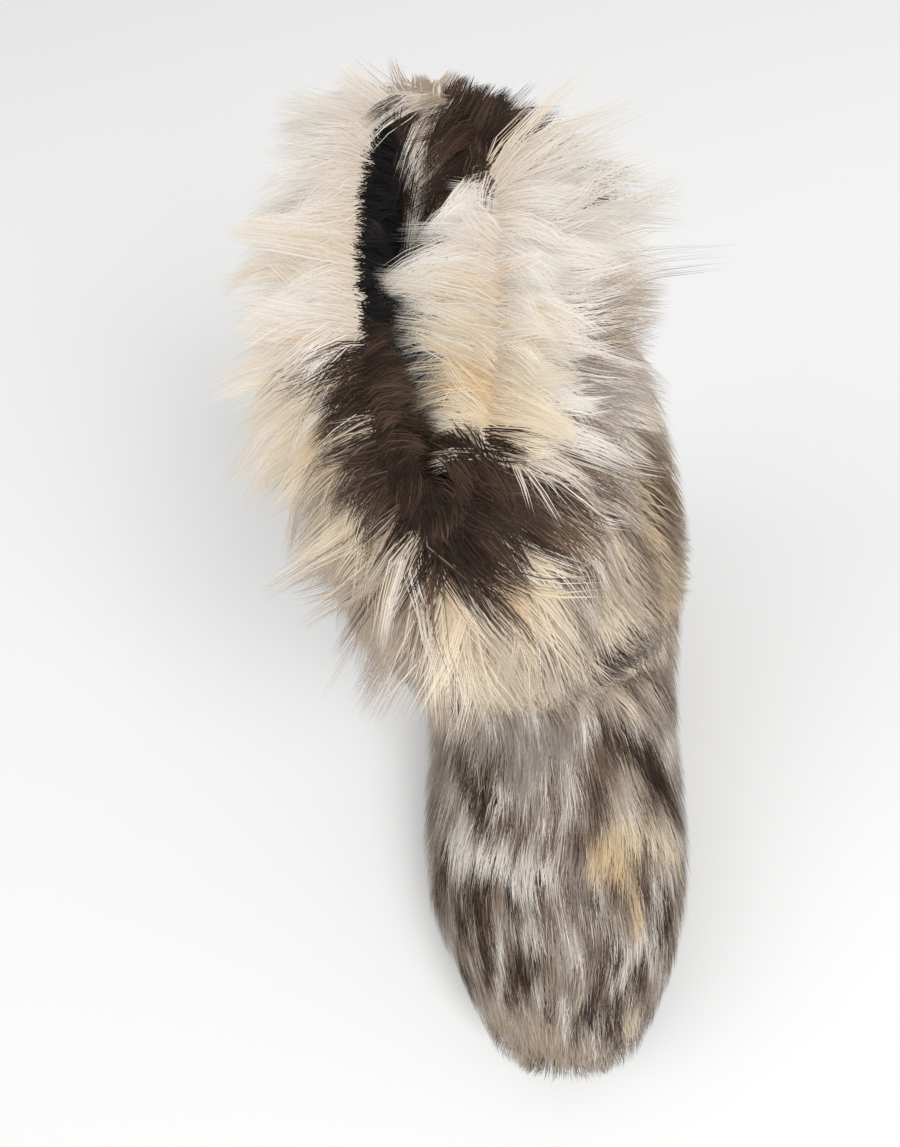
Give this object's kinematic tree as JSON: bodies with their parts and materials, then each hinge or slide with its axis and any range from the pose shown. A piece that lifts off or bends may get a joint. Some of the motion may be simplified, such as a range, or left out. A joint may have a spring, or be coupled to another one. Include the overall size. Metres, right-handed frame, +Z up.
{
  "type": "fur boot",
  "caption": "Slack calf-high boot of long-pile fur with a rolled fur collar, a soft hollow upper, a footbed and a flat rubber sole with a low arch.",
  "frame": {"origin": "on the floor, at the middle of the flat spot under the heel", "axes": "+Z up, -Y towards the toe, +X towards the inner side of the right foot"},
  "size_m": [0.1598, 0.3215, 0.329],
  "materials": {
    "sole_rubber": "matt moulded rubber with a fine grain",
    "footbed": "short black fleece",
    "lining_cloth": "matt black knitted lining",
    "foot_fur": "long straight pile lying towards the toe, grey-brown with cream and tan patches",
    "shaft_fur": "long shaggy pile lying down the shaft, grey-brown, dark brown and golden cream",
    "cuff_fur": "the longest pile, white to warm cream with dark brown patches, falling out and in over the edge"
  },
  "bodies": {
    "root": {"outsole": "sole_rubber", "insole": "footbed", "upper": "lining_cloth", "fur_foot": "foot_fur", "fur_shaft": "shaft_fur", "fur_cuff": "cuff_fur"}
  },
  "joints": []
}
